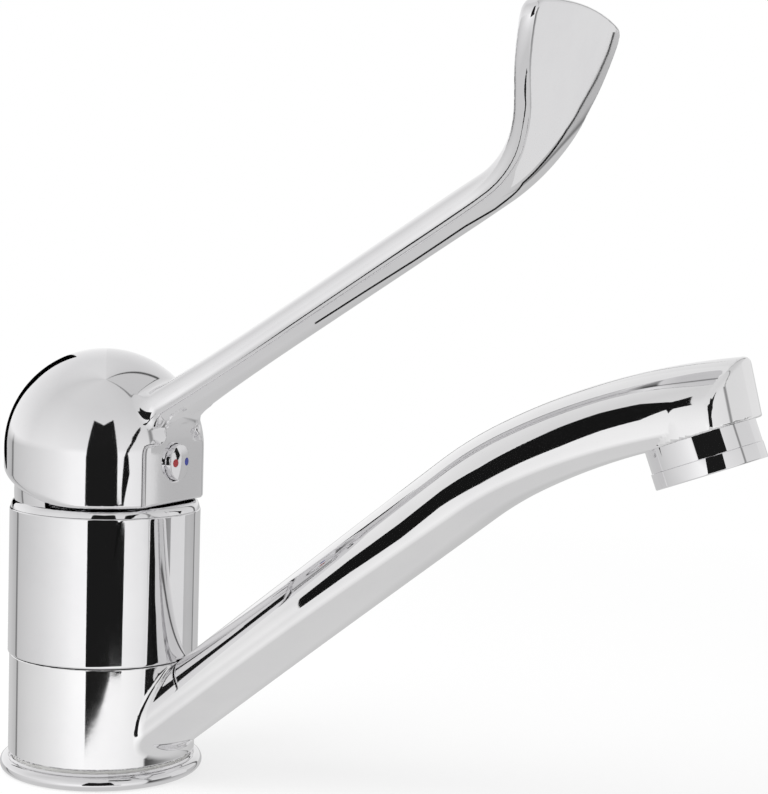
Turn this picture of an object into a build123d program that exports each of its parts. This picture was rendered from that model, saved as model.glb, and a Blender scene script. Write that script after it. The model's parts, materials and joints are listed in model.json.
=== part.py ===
from build123d import *
import math
import os

os.makedirs("parts", exist_ok=True)

# Elbow lever tap: a one-hole sink mixer with a long elbow lever and a swivelling cast spout.
# The origin is on the deck plane, on the column's axis. X points over the sink and Z is up.
# Hot is on the left of somebody who faces the tap, which is the negative side of Y.

# Clearances shared by all pieces
running_gap = 0.05
seat_gap = 0.1
body_gap = 0.35
overrun = 5.0
edge_round = 0.4

# Heights of the column, each measured from the piece below
flange_height = 4.2
glide_thickness = 0.65
collar_height = 26.4
housing_height = 38.4
cap_height = 2.1
rim_gap = 0.4
pivot_rise = 4.2
dome_rise = 11.45

collar_bottom = flange_height + glide_thickness + running_gap
collar_top = collar_bottom + collar_height
shoulder_z = collar_top + seat_gap
column_top = shoulder_z + housing_height
cap_top = column_top + cap_height
rim_z = cap_top + rim_gap
pivot_z = column_top + pivot_rise
dome_z = pivot_z + dome_rise

# Radii of the column
column_radius = 25.0
flange_reach = 1.7
flange_lip = 0.5
collar_inset = 0.4
collar_wall = 5.7
spigot_step = 2.9
spigot_recess = 0.6

flange_radius = column_radius + flange_reach
collar_radius = column_radius - collar_inset
stem_radius = collar_radius - collar_wall
spigot_radius = stem_radius - spigot_step
collar_bore = stem_radius + running_gap

# Swivel seals and their grooves in the stem
seal_wire = 0.95
seal_inset_share = 0.14
seal_ring_radius = stem_radius - seal_wire + running_gap / 2
seal_groove_floor = seal_ring_radius - seal_wire
lower_seal_z = collar_bottom + collar_height * seal_inset_share
upper_seal_z = collar_top - collar_height * seal_inset_share

# Upper glide ring, let into the top of the collar
upper_glide_reach = 3.1
lower_glide_inset = 1.0

upper_glide_radius = stem_radius + upper_glide_reach
lower_glide_radius = collar_radius - lower_glide_inset

# Water space round the stem, between the seals
annulus_depth = 2.6
annulus_height = 10.0
annulus_z = (lower_seal_z + upper_seal_z) / 2

# Retaining clip under the flange
clip_thickness = 1.1
clip_reach = 2.4
clip_groove_depth = 1.0
clip_opening = 8.0
clip_z = flange_height / 2 - clip_thickness / 2 - running_gap

# Deck seal under the flange
deck_seal_inset = 2.2
deck_seal_width = 2.6
deck_seal_height = 1.6

deck_seal_outer = flange_radius - deck_seal_inset

# Inlets, outlet passage and fixing stud hole
inlet_thread_radius = 5.0
inlet_thread_depth = 12.0
inlet_bore = 3.6
inlet_offset_x = 4.0
inlet_offset_y = 8.0
stud_radius = 4.0
stud_depth = 10.0
stud_offset = 9.6
outlet_bore = 4.4
outlet_port = 4.0
outlet_sump = 1.0

# Cartridge, a stack measured down from the lever's pivot
cartridge_depth = 36.0
chamber_wall = 4.9
cartridge_wall = 2.4
base_thickness = 4.0
ceramic_thickness = 4.0
ceramic_inset = 3.2
ceramic_margin = 3.6
carrier_thickness = 6.0
carrier_flat = 2.2
socket_land = 1.0
socket_relief = 0.6
spindle_ball = 3.0
spindle_floor_gap = 0.4
rotor_gap = 1.8
rotor_flange = 3.1
rotor_inset = 3.6
rotor_step = 5.0
rotor_top_rise = 2.5
housing_roof = 2.5
neck_wall = 1.8
neck_rise = 6.5

floor_z = pivot_z - cartridge_depth
base_top = floor_z + base_thickness
fixed_top = base_top + ceramic_thickness
moving_top = fixed_top + ceramic_thickness
carrier_top = moving_top + carrier_thickness
ball_z = moving_top + spindle_ball + spindle_floor_gap
rotor_bottom = carrier_top + rotor_gap
rotor_shoulder = rotor_bottom + rotor_flange
roof_z = rotor_shoulder + seat_gap
housing_shoulder = roof_z + housing_roof
neck_top = housing_shoulder + neck_rise
rotor_top = pivot_z + rotor_top_rise
chamber_radius = column_radius - chamber_wall
cartridge_radius = chamber_radius - seat_gap
fixed_ceramic_radius = cartridge_radius - ceramic_inset
moving_ceramic_radius = fixed_ceramic_radius - ceramic_margin
carrier_half_width = moving_ceramic_radius - carrier_flat
rotor_flange_radius = cartridge_radius - rotor_inset
rotor_neck_radius = rotor_flange_radius - rotor_step
neck_bore = rotor_neck_radius + running_gap

# Lever travel, from closed to fully open
lift_travel = 15.0
disc_travel = (pivot_z - ball_z) * math.radians(lift_travel)

# Ports through the cartridge
port_radius = 3.4
port_seal_width = 1.5
port_seal_height = 1.6
mix_port_inset = 7.4

mix_port_x = mix_port_inset - fixed_ceramic_radius

# Clamp nut over the cartridge
nut_wall = 2.9
nut_height = 5.6
nut_slot_width = 4.0
nut_slot_depth = 2.0
nut_slots = 6

nut_radius = column_radius - nut_wall - seat_gap

# Pivot pin
pin_radius = 1.5
pin_clearance = 0.04

# Spindle
spindle_square = 8.0
spindle_neck = 3.0
spindle_shoulder = 7.0
spindle_length = 21.0

# Cover cap, with its raised apron behind
cap_step_share = 0.38
cap_step_inset = 0.4
cap_shoulder_share = 0.76
cap_shoulder_inset = 0.7
cap_edge_inset = 1.4
cap_plate = 1.5
cap_ball_inset = 1.1
cap_apron_wall = 1.6
cap_apron_rise = 4.0
cap_apron_start = 95.0

cap_ball_radius = column_radius - cap_ball_inset

# Hub of the lever handle
hub_wall = 1.85
hub_offset = 0.65
hub_edge = 1.0
relief_angle = 14.5
panel_setback = 4.5
panel_wall = 2.2
panel_bend_rise = 11.7
panel_bend_radius = 14.0
panel_shoulder_rise = 14.0
panel_neck = 7.2
panel_neck_round = 3.0
boss_radius = 9.5
boss_clearance = 4.5

hub_inner = cap_ball_radius + body_gap
hub_radius = hub_inner + hub_wall
panel_x = hub_radius - panel_setback
panel_bend_z = pivot_z + panel_bend_rise
panel_shoulder_z = pivot_z + panel_shoulder_rise

# Elbow lever: a straight arm, an elbow and a fan-shaped paddle
lever_angle = 32.5
lever_anchor_x = 39.8
lever_anchor_z = 110.25
elbow_x = 119.4
elbow_radius = 30.0
paddle_angle = 76.5
paddle_top = 196.0
lever_start_x = 13.0
arm_width = 8.7
arm_depth = 4.5
arm_x = 84.0
root_width = 12.9
root_depth = 4.9
flare_x = 44.0
wrist_width = 9.0
wrist_depth = 4.3
elbow_width = 12.6
elbow_depth = 3.6
paddle_foot_width = 19.4
paddle_width = 29.4
paddle_depth = 2.9
flare_shares = ((0, 1), (0.3, 0.83), (0.58, 0.44), (1, 0.1))
paddle_shares = ((0.25, 0.5), (0.5, 0.78), (1, 1))
end_round_share = 0.72
top_arch = 2.4
paddle_corner = 4.0

# Index button with its two dots
button_rise = 9.1
button_radius = 4.7
button_height = 1.9
button_dome = 0.5
button_plug_radius = 3.2
button_plug = 3.0
dot_radius = 1.05
dot_spread = 2.6
dot_depth = 0.4

button_z = pivot_z + button_rise

# Grub screw behind the button
grub_radius = 2.5
grub_length = 6.0
grub_key = 1.25
grub_key_depth = 2.6

# Spout: a straight rise from the collar, then a gentle bend to the nose
spout_root_x = 14.0
spout_root_angle = 38.5
spout_mid_x = 58.6
spout_mid_z = 46.56
spout_width = 13.8
spout_height = 18.4
spout_wall = 2.6
bend_x = 103.6
spout_end_x = 182.0
spout_end_z = 109.5
spout_end_angle = 4.0
spout_end_width = 14.2
spout_end_height = 17.6
spout_straight_spans = 7
spout_bend_shares = ((0.18, 0.34, 0.3), (0.35, 0.6, 0.46), (0.54, 0.8, 0.62), (0.76, 0.95, 0.82), (1, 1, 1))

# Shares of a section: crown, and the underside where it is round and where it is square
spout_crown_share = 0.58
round_wall_share = 0.93
round_mid_share = 0.42
round_foot_share = 0.7
round_end_share = 0.74
square_foot_share = 0.93
square_end_share = 0.84

# Nose and outlet
nose_radius = 14.25
nose_front_radius = 17.5
nose_skirt = 5.5
nose_angle = 14.2
outlet_x = 163.8
outlet_z = 91.1
outlet_angle = 21.0
aerator_drop = 9.0
nose_height = 24.0

# Aerator
aerator_radius = 13.0
aerator_band = 3.8
aerator_flat = 12.4
aerator_flats = 4
aerator_flat_turn = -35.0
aerator_thread_radius = 11.6
aerator_thread = 7.0
aerator_bore = 10.6
aerator_wall = 1.2
aerator_lip = 0.8
insert_height = 7.5
insert_rib = 0.8
insert_cells = 5
screen_thickness = 0.6
screen_hole = 0.55
screen_rings = 5


def save(name, shape):
    """Write one sub-part to its own file."""
    export_step(shape, "parts/" + name + ".step")


def disc(radius, bottom, top, x=0, y=0):
    """Upright cylinder between two heights."""
    return Pos(x, y, (bottom + top) / 2) * Cylinder(radius, top - bottom)


def ring(outer, inner, bottom, top):
    """Upright tube between two heights."""
    return disc(outer, bottom, top) - disc(inner, bottom - overrun, top + overrun)


def turned(edges, angle=360):
    """Solid turned about the column's axis from edges given as radius and height."""
    return revolve(Plane.XZ * make_face(edges), Axis.Z, angle)


def o_ring(ring_radius, wire_radius, z):
    """Round-section seal about the column's axis."""
    return Pos(0, 0, z) * Torus(ring_radius, wire_radius)


def block(x_low, x_high, half_width, z_low, z_high):
    """Box given by its ends along X and Z and by its half width."""
    place = Pos((x_low + x_high) / 2, 0, (z_low + z_high) / 2)
    return place * Box(x_high - x_low, 2 * half_width, z_high - z_low)


def tilted(x, z, slope):
    """Plane across a path in the XZ plane; its own x runs along Y and its own y points upwards."""
    angle = math.radians(slope)
    return Plane(origin=(x, 0, z), x_dir=(0, 1, 0), z_dir=(math.cos(angle), 0, math.sin(angle)))


def oval(half_width, half_depth, round_share):
    """Closed oval of four tangent arcs, crowned on its two broad sides."""
    end_radius = half_depth * round_share
    reach = half_width - end_radius
    crown = (reach ** 2 + half_depth ** 2 - end_radius ** 2) / (2 * half_depth - 2 * end_radius)
    drop = crown - half_depth
    span = crown - end_radius
    x = reach + end_radius * reach / span
    y = end_radius * drop / span
    return [
        ThreePointArc((-x, y), (0, half_depth), (x, y)),
        ThreePointArc((x, y), (half_width, 0), (x, -y)),
        ThreePointArc((x, -y), (0, -half_depth), (-x, -y)),
        ThreePointArc((-x, -y), (-half_width, 0), (-x, y)),
    ]


def outlet_axis(distance):
    """Plane across the outlet axis, a distance above the mouth; it looks up the axis."""
    angle = math.radians(outlet_angle)
    up = (-math.sin(angle), 0, math.cos(angle))
    place = (outlet_x + distance * up[0], 0, outlet_z + distance * up[2])
    return Plane(origin=place, x_dir=(0, 1, 0), z_dir=up)


def outlet_disc(radius, low, high):
    """Cylinder on the outlet axis between two distances above the mouth."""
    return extrude(outlet_axis(low) * Circle(radius), high - low)


def outlet_ring(outer, inner, low, high):
    """Tube on the outlet axis between two distances above the mouth."""
    return outlet_disc(outer, low, high) - outlet_disc(inner, low - overrun, high + overrun)


# Column
def make_main_body():
    """Brass casting: stem inside the collar, shoulder, and cartridge housing above it."""
    r = edge_round
    outline = Polyline(
        (0, spigot_recess),
        (spigot_radius, spigot_recess),
        (spigot_radius, flange_height),
        (stem_radius, flange_height),
        (stem_radius, shoulder_z),
        (column_radius - r, shoulder_z),
    )
    lower_round = RadiusArc((column_radius - r, shoulder_z), (column_radius, shoulder_z + r), -r)
    wall = Line((column_radius, shoulder_z + r), (column_radius, column_top - r))
    upper_round = RadiusArc((column_radius, column_top - r), (column_radius - r, column_top), -r)
    roof = Polyline((column_radius - r, column_top), (0, column_top), (0, spigot_recess))
    body = turned([outline, lower_round, wall, upper_round, roof])
    body -= disc(chamber_radius, floor_z, column_top + overrun)
    body -= disc(nut_radius + seat_gap, housing_shoulder - edge_round, column_top + overrun)
    for seal_z in (lower_seal_z, upper_seal_z):
        groove_half = seal_wire + seat_gap
        body -= ring(stem_radius + overrun, seal_groove_floor, seal_z - groove_half, seal_z + groove_half)
    clip_floor = spigot_radius - clip_groove_depth
    body -= ring(spigot_radius + overrun, clip_floor, clip_z - running_gap, clip_z + clip_thickness + running_gap)
    for side in (-1, 1):
        y = side * inlet_offset_y
        body -= disc(inlet_thread_radius, -overrun, spigot_recess + inlet_thread_depth, inlet_offset_x, y)
        body -= disc(inlet_bore, 0, floor_z + overrun, inlet_offset_x, y)
    body -= disc(stud_radius, -overrun, spigot_recess + stud_depth, -stud_offset, 0)
    body -= disc(outlet_bore, annulus_z - outlet_port - outlet_sump, floor_z + overrun, mix_port_x, 0)
    port = Pos(mix_port_x - stem_radius / 2, 0, annulus_z) * Rot(0, 90, 0)
    body -= port * Cylinder(outlet_port, stem_radius)
    return body


def make_base_flange():
    """Foot ring with a half-round rim, carried on the stem's spigot by the clip."""
    half = (flange_height - flange_lip) / 2
    lip = flange_radius - half
    bore = spigot_radius + running_gap
    outline = Polyline(
        (lip, 0),
        (bore, 0),
        (bore, flange_height),
        (collar_radius, flange_height),
        (collar_radius, flange_height - flange_lip),
        (lip, flange_height - flange_lip),
    )
    rim = ThreePointArc((lip, flange_height - flange_lip), (flange_radius, half), (lip, 0))
    flange = turned([outline, rim])
    recess = spigot_radius + clip_reach + seat_gap
    flange -= disc(recess, -overrun, clip_z + clip_thickness)
    seal_inner = deck_seal_outer - deck_seal_width
    flange -= ring(deck_seal_outer, seal_inner, -overrun, deck_seal_height)
    return flange


def make_base_seal():
    """Flat rubber ring let into the foot."""
    return ring(deck_seal_outer, deck_seal_outer - deck_seal_width, 0, deck_seal_height)


def make_retaining_clip():
    """Open spring ring in the spigot's groove, which carries the foot ring."""
    inner = spigot_radius - clip_groove_depth + running_gap
    clip = ring(spigot_radius + clip_reach, inner, clip_z, clip_z + clip_thickness)
    gap = block(-flange_radius, 0, clip_opening / 2, 0, flange_height)
    return clip - gap


def make_lower_glide_ring():
    """Plastic ring that the collar turns on."""
    return ring(lower_glide_radius, stem_radius + running_gap, flange_height, flange_height + glide_thickness)


def make_upper_glide_ring():
    """Plastic ring between the collar and the body's shoulder."""
    bottom = shoulder_z - 2 * glide_thickness
    return ring(upper_glide_radius, stem_radius + running_gap, bottom, shoulder_z)


def make_swivel_seal(z):
    """Rubber ring in one of the stem's grooves."""
    return o_ring(seal_ring_radius, seal_wire, z)


# Cartridge
def port_places():
    """Places of the hot, cold and mixed water ports."""
    return [(inlet_offset_x, -inlet_offset_y), (inlet_offset_x, inlet_offset_y), (mix_port_x, 0)]


def make_cartridge_base():
    """Plastic foot plate with three ports and seats for their seals."""
    base = disc(cartridge_radius, floor_z, base_top)
    for x, y in port_places():
        base -= disc(port_radius, floor_z - overrun, base_top + overrun, x, y)
        seat = port_radius + port_seal_width
        base -= disc(seat, floor_z - overrun, floor_z + port_seal_height, x, y)
    return base


def make_cartridge_seals():
    """Three rubber rings under the foot plate."""
    rings = []
    for x, y in port_places():
        outer = disc(port_radius + port_seal_width, floor_z, floor_z + port_seal_height, x, y)
        rings.append(outer - disc(port_radius, floor_z - overrun, floor_z + overrun, x, y))
    return Compound(children=rings)


def make_fixed_ceramic_disc():
    """Still disc with two inlet ports and one outlet port."""
    plate = disc(fixed_ceramic_radius, base_top, fixed_top)
    for x, y in port_places():
        plate -= disc(port_radius, base_top - overrun, fixed_top + overrun, x, y)
    return plate


def make_moving_ceramic_disc():
    """Sliding disc with a mixing pocket in its underside."""
    x = -disc_travel / 2
    plate = disc(moving_ceramic_radius, fixed_top, moving_top, x, 0)
    pocket = disc(moving_ceramic_radius / 2, fixed_top - overrun, (fixed_top + moving_top) / 2, x - port_radius / 2, 0)
    return plate - pocket


def make_disc_carrier():
    """Driver that holds the sliding disc and takes the spindle's end in its socket."""
    x = -disc_travel / 2
    carrier = disc(moving_ceramic_radius, moving_top, carrier_top, x, 0)
    guide = block(-cartridge_radius, cartridge_radius, carrier_half_width, moving_top, carrier_top)
    carrier &= guide
    socket = spindle_ball + body_gap
    carrier -= disc(socket, moving_top - overrun, carrier_top + overrun)
    return carrier - disc(socket + socket_relief, ball_z + socket_land, carrier_top + overrun)


def make_cartridge_housing():
    """Plastic cup of the cartridge, with the neck that the turret turns in."""
    inner = cartridge_radius - cartridge_wall
    housing = disc(cartridge_radius, base_top, housing_shoulder)
    housing += disc(neck_bore + neck_wall, housing_shoulder, neck_top)
    housing -= disc(inner, base_top - overrun, roof_z)
    return housing - disc(neck_bore, roof_z - overrun, neck_top + overrun)


def make_cartridge_rotor():
    """Turret that turns for temperature and carries the pivot pin."""
    rotor = disc(rotor_flange_radius, rotor_bottom, rotor_shoulder)
    rotor += disc(rotor_neck_radius, rotor_shoulder - edge_round, rotor_top)
    skirt = disc(rotor_flange_radius, moving_top + rotor_gap / 2, rotor_bottom)
    inside = carrier_half_width + running_gap
    skirt -= block(-cartridge_radius, cartridge_radius, inside, moving_top, rotor_bottom + overrun)
    rotor += skirt
    swing = math.radians(lift_travel)
    foot = (pivot_z - rotor_bottom + overrun) * math.tan(swing)
    head = overrun * math.tan(swing)
    room = spindle_neck + body_gap
    slot = Polyline(
        (-room, rotor_bottom - overrun),
        (foot + room, rotor_bottom - overrun),
        (room + body_gap, pivot_z),
        (room + body_gap, rotor_top + overrun),
        (-head - room, rotor_top + overrun),
        (-room - body_gap, pivot_z),
        close=True,
    )
    rotor -= extrude(Plane.XZ * make_face(slot), room, both=True)
    bore = Pos(0, 0, pivot_z) * Rot(90, 0, 0) * Cylinder(pin_radius, 2 * rotor_neck_radius + overrun)
    return rotor - bore


def make_lever_pivot_pin():
    """Steel pin across the turret."""
    return Pos(0, 0, pivot_z) * Rot(90, 0, 0) * Cylinder(pin_radius, 2 * rotor_neck_radius - overrun)


def make_cartridge_clamp_nut():
    """Slotted brass ring that holds the cartridge down."""
    nut = ring(nut_radius, neck_bore + neck_wall + seat_gap, housing_shoulder, housing_shoulder + nut_height)
    top = housing_shoulder + nut_height
    for index in range(nut_slots):
        slot = block(nut_radius - 2 * nut_slot_depth, nut_radius + overrun, nut_slot_width / 2,
                     top - nut_slot_depth, top + overrun)
        nut -= Rot(0, 0, index * 360 / nut_slots) * slot
    return nut


def make_cover_cap():
    """Shallow cover over the cartridge, raised behind into an apron inside the hub."""
    outline = Polyline(
        (neck_bore + body_gap, cap_top - cap_plate),
        (neck_bore + body_gap, cap_top),
        (column_radius - cap_edge_inset, cap_top),
        (column_radius - cap_shoulder_inset, column_top + cap_height * cap_shoulder_share),
        (column_radius - cap_step_inset, column_top + cap_height * cap_step_share),
        (column_radius - edge_round / 2, column_top),
        (nut_radius + seat_gap, column_top),
        (nut_radius + seat_gap, cap_top - cap_plate),
        close=True,
    )
    cap = turned([outline])
    ball = Pos(0, 0, pivot_z) * Sphere(cap_ball_radius)
    apron_top = pivot_z + cap_apron_rise
    apron = ball & disc(cap_ball_radius + overrun, cap_top - cap_plate, apron_top)
    apron -= disc(cap_ball_radius - cap_apron_wall, column_top, apron_top + overrun)
    reach = 2 * flange_radius
    start = math.radians(cap_apron_start)
    wedge = Polyline(
        (0, 0),
        (reach * math.cos(start), reach * math.sin(start)),
        (-reach, reach),
        (-reach, -reach),
        (reach * math.cos(start), -reach * math.sin(start)),
        close=True,
    )
    rear = Pos(0, 0, column_top) * extrude(make_face(wedge), apron_top)
    return cap + (apron & rear)


# Lever handle
def lever_path_z(x):
    """Height of the straight arm's centreline."""
    return lever_anchor_z + (x - lever_anchor_x) * math.tan(math.radians(lever_angle))


def lever_stations():
    """Sections along the lever as place, slope, half width and half depth."""
    stations = []
    for along, flare in flare_shares:
        x = lever_start_x + (flare_x - lever_start_x) * along
        width = arm_width + (root_width - arm_width) * flare
        depth = arm_depth + (root_depth - arm_depth) * flare
        stations.append((x, lever_path_z(x), lever_angle, width, depth))
    stations.append((arm_x, lever_path_z(arm_x), lever_angle, arm_width, arm_depth))
    low = math.radians(lever_angle)
    high = math.radians(paddle_angle)
    middle = (low + high) / 2
    tangent = elbow_radius * math.tan((high - low) / 2)
    start_x = elbow_x - tangent * math.cos(low)
    center_x = start_x - elbow_radius * math.sin(low)
    center_z = lever_path_z(start_x) + elbow_radius * math.cos(low)
    for angle, width, depth in (
        (low, wrist_width, wrist_depth),
        (middle, elbow_width, elbow_depth),
        (high, paddle_foot_width, (elbow_depth + paddle_depth) / 2),
    ):
        x = center_x + elbow_radius * math.sin(angle)
        z = center_z - elbow_radius * math.cos(angle)
        stations.append((x, z, math.degrees(angle), width, depth))
    foot_x, foot_z = stations[-1][:2]
    rise = paddle_top + overrun - foot_z
    for up, widen in paddle_shares:
        width = paddle_foot_width + (paddle_width - paddle_foot_width) * widen
        x = foot_x + rise * up / math.tan(high)
        stations.append((x, foot_z + rise * up, paddle_angle, width, paddle_depth))
    return stations


def make_lever_arm():
    """Arm and paddle as one smooth loft, ended by the paddle's arched edge."""
    sections = []
    for x, z, slope, width, depth in lever_stations():
        sections.append(tilted(x, z, slope) * make_face(oval(width, depth, end_round_share)))
    arm = loft(sections)
    side = paddle_width + edge_round
    low = paddle_top - top_arch
    arch = [
        Polyline((-side, low), (-side, 0), (side, 0), (side, low)),
        ThreePointArc((side, low), (0, paddle_top), (-side, low)),
    ]
    outline = make_face(arch)
    corners = outline.vertices().group_by(Axis.Y)[-1]
    outline = fillet(corners, paddle_corner + edge_round)
    return arm & extrude(Plane.YZ * outline, 2 * elbow_x)


def make_hub():
    """Dome over a short cylinder, with the relief behind."""
    r = hub_edge
    outline = Polyline((0, dome_z + hub_radius), (0, rim_z), (hub_radius - r, rim_z))
    edge = RadiusArc((hub_radius - r, rim_z), (hub_radius, rim_z + r), -r)
    wall = Line((hub_radius, rim_z + r), (hub_radius, dome_z))
    crown = RadiusArc((hub_radius, dome_z), (0, dome_z + hub_radius), -hub_radius)
    hub = Pos(-hub_offset, 0, 0) * turned([outline, edge, wall, crown])
    reach = 2 * hub_radius
    rise = reach * math.tan(math.radians(relief_angle))
    relief = Polyline((0, rim_z), (-reach, rim_z + rise), (-reach, rim_z - overrun), (0, rim_z - overrun), close=True)
    return hub - extrude(Plane.XZ * make_face(relief), reach, both=True)


def panel_bend():
    """Middle and end of the arc that leads from the hub's flat to the lever's underside."""
    angle = math.pi / 2 - math.radians(lever_angle)
    places = []
    for share in (0.5, 1):
        x = panel_x + panel_bend_radius * (1 - math.cos(angle * share))
        z = panel_bend_z + panel_bend_radius * math.sin(angle * share)
        places.append((x, z))
    return places


def make_panel_cut():
    """Space in front of the hub's flat, which narrows to a neck under the lever."""
    middle, end = panel_bend()
    far_x = end[0] + panel_bend_radius
    far_z = end[1] + panel_bend_radius * math.tan(math.radians(lever_angle))
    low = rim_z - overrun
    edges = [
        Line((panel_x, low), (panel_x, panel_bend_z)),
        ThreePointArc((panel_x, panel_bend_z), middle, end),
        Polyline(end, (far_x, far_z), (far_x, low), (panel_x, low)),
    ]
    profile = extrude(Plane.XZ * make_face(edges), hub_radius, both=True)
    wide = 2 * hub_radius
    high = paddle_top
    front = make_face(Polyline(
        (-wide, low),
        (wide, low),
        (wide, panel_shoulder_z),
        (panel_neck, panel_shoulder_z),
        (panel_neck, high),
        (-panel_neck, high),
        (-panel_neck, panel_shoulder_z),
        (-wide, panel_shoulder_z),
        close=True,
    ))
    necks = [v for v in front.vertices() if abs(v.X) < wide and v.Y < high]
    front = fillet(necks, panel_neck_round)
    return profile & extrude(Plane.YZ * front, wide)


def make_panel_web():
    """Metal under the lever's root, whose front face is the panel's bend."""
    middle, end = panel_bend()
    back = panel_x - panel_wall
    edges = [
        Line((back, panel_bend_z), (panel_x, panel_bend_z)),
        ThreePointArc((panel_x, panel_bend_z), middle, end),
        Polyline(end, (end[0], lever_path_z(end[0])), (back, lever_path_z(back)), (back, panel_bend_z)),
    ]
    return extrude(Plane.XZ * make_face(edges), panel_neck, both=True)


def make_lever_handle():
    """One casting: hub, front flat, arm and paddle, hollow over the cartridge."""
    handle = make_hub() + make_lever_arm() + make_panel_web()
    handle -= make_panel_cut()
    cavity = disc(hub_inner, rim_z - overrun, dome_z) + Pos(0, 0, dome_z) * Sphere(hub_inner)
    cavity &= block(-hub_radius, panel_x - panel_wall, hub_radius, rim_z - overrun, dome_z + hub_radius)
    boss = disc(boss_radius, rotor_top + boss_clearance, dome_z + hub_radius)
    cavity -= boss
    handle -= cavity
    half = spindle_square / 2 + running_gap
    socket_top = pivot_z + spindle_shoulder + spindle_length + seat_gap
    handle -= block(-half, half, half, rotor_top, socket_top)
    handle -= Pos(0, 0, button_z) * Rot(0, 90, 0) * Pos(0, 0, panel_x / 2) * Cylinder(grub_radius, panel_x)
    turn = Rot(0, 90, 0)
    hole_start = panel_x - panel_wall - overrun
    handle -= Pos(hole_start + panel_x / 2, 0, button_z) * turn * Cylinder(button_plug_radius + running_gap, panel_x)
    return handle - Pos(panel_x * 3 / 2, 0, button_z) * turn * Cylinder(button_radius + running_gap, panel_x)


def make_lever_spindle():
    """Square-headed brass spindle with the ball end that drives the discs."""
    half = spindle_square / 2
    foot = pivot_z + spindle_shoulder
    spindle = block(-half, half, half, foot, foot + spindle_length)
    spindle += disc(spindle_neck, ball_z, foot + edge_round)
    spindle += Pos(0, 0, ball_z) * Sphere(spindle_ball)
    bore = Pos(0, 0, pivot_z) * Rot(90, 0, 0) * Cylinder(pin_radius + pin_clearance, 2 * spindle_square)
    return spindle - bore


def make_handle_grub_screw():
    """Socket screw that clamps the handle on the spindle."""
    start = spindle_square / 2
    screw = Pos(start + grub_length / 2, 0, button_z) * Rot(0, 90, 0) * Cylinder(grub_radius, grub_length)
    key = RegularPolygon(grub_key, 6, major_radius=False)
    plane = Plane(origin=(start + grub_length - grub_key_depth, 0, button_z), x_dir=(0, 1, 0), z_dir=(1, 0, 0))
    return screw - extrude(plane * key, grub_key_depth + overrun)


def button_profile():
    """Domed button in front of the hub's flat, turned about the screw's axis."""
    rim = panel_x + button_height - button_dome
    crown = (button_radius ** 2 + button_dome ** 2) / (2 * button_dome)
    edges = [
        Polyline(
            (rim + button_dome, button_z),
            (panel_x - button_plug, button_z),
            (panel_x - button_plug, button_z + button_plug_radius),
            (panel_x, button_z + button_plug_radius),
            (panel_x, button_z + button_radius),
            (rim, button_z + button_radius),
        ),
        RadiusArc((rim, button_z + button_radius), (rim + button_dome, button_z), crown),
    ]
    axis = Axis((0, 0, button_z), (1, 0, 0))
    return revolve(Plane.XZ * make_face(edges), axis, 360)


def dot_seat(side):
    """Cylinder that a dot fills, cut into the button's face."""
    start = panel_x + button_height - 2 * dot_depth
    place = Pos(start + overrun / 2, side * dot_spread, button_z) * Rot(0, 90, 0)
    return place * Cylinder(dot_radius, overrun)


def make_index_button():
    """Round plug that closes the screw's hole, with seats for two dots."""
    button = button_profile()
    for side in (-1, 1):
        button -= dot_seat(side)
    return button


def make_dot(side):
    """Coloured dot, flush with the button's domed face."""
    return dot_seat(side) & button_profile()


# Spout
def spout_stations():
    """Sections along the spout as place, slope, half width, height and squareness of the underside."""
    slope = spout_root_angle
    rise = math.tan(math.radians(slope))
    stations = []
    for index in range(spout_straight_spans + 1):
        share = index / spout_straight_spans
        x = spout_root_x + (bend_x - spout_root_x) * share
        z = spout_mid_z + (x - spout_mid_x) * rise
        stations.append((x, z, slope, spout_width, spout_height, max(2 * share - 1, 0) / 2))
    bend_z = spout_mid_z + (bend_x - spout_mid_x) * rise
    reach = spout_end_x - bend_x
    climb = spout_end_z - bend_z
    for along, up, turn in spout_bend_shares:
        stations.append((
            bend_x + reach * along,
            bend_z + climb * up,
            slope + (spout_end_angle - slope) * turn,
            spout_width + (spout_end_width - spout_width) * along,
            spout_height + (spout_end_height - spout_height) * along,
            (1 + along) / 2,
        ))
    return stations


def spout_section(half_width, height, square):
    """Closed section: arched crown to a crease at the side, then wall and underside."""
    top = height / 2
    crease = top - spout_crown_share * height
    round_mid = (half_width * round_wall_share, -top * round_mid_share)
    round_end = (half_width * round_foot_share, -top * round_end_share)
    square_mid = (half_width, (crease - top * square_end_share) / 2)
    square_end = (half_width * square_foot_share, -top * square_end_share)
    mid_x = round_mid[0] + (square_mid[0] - round_mid[0]) * square
    mid_y = round_mid[1] + (square_mid[1] - round_mid[1]) * square
    end_x = round_end[0] + (square_end[0] - round_end[0]) * square
    end_y = round_end[1] + (square_end[1] - round_end[1]) * square
    return [
        ThreePointArc((-half_width, crease), (0, top), (half_width, crease)),
        ThreePointArc((half_width, crease), (mid_x, mid_y), (end_x, end_y)),
        ThreePointArc((end_x, end_y), (0, -top), (-end_x, end_y)),
        ThreePointArc((-end_x, end_y), (-mid_x, mid_y), (-half_width, crease)),
    ]


def spout_loft(inset):
    """Smooth tube through all stations, shrunk by a wall."""
    sections = []
    for x, z, slope, half_width, height, square in spout_stations():
        outline = spout_section(half_width - inset, height - 2 * inset, square)
        sections.append(tilted(x, z, slope) * make_face(outline))
    return loft(sections)


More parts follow.
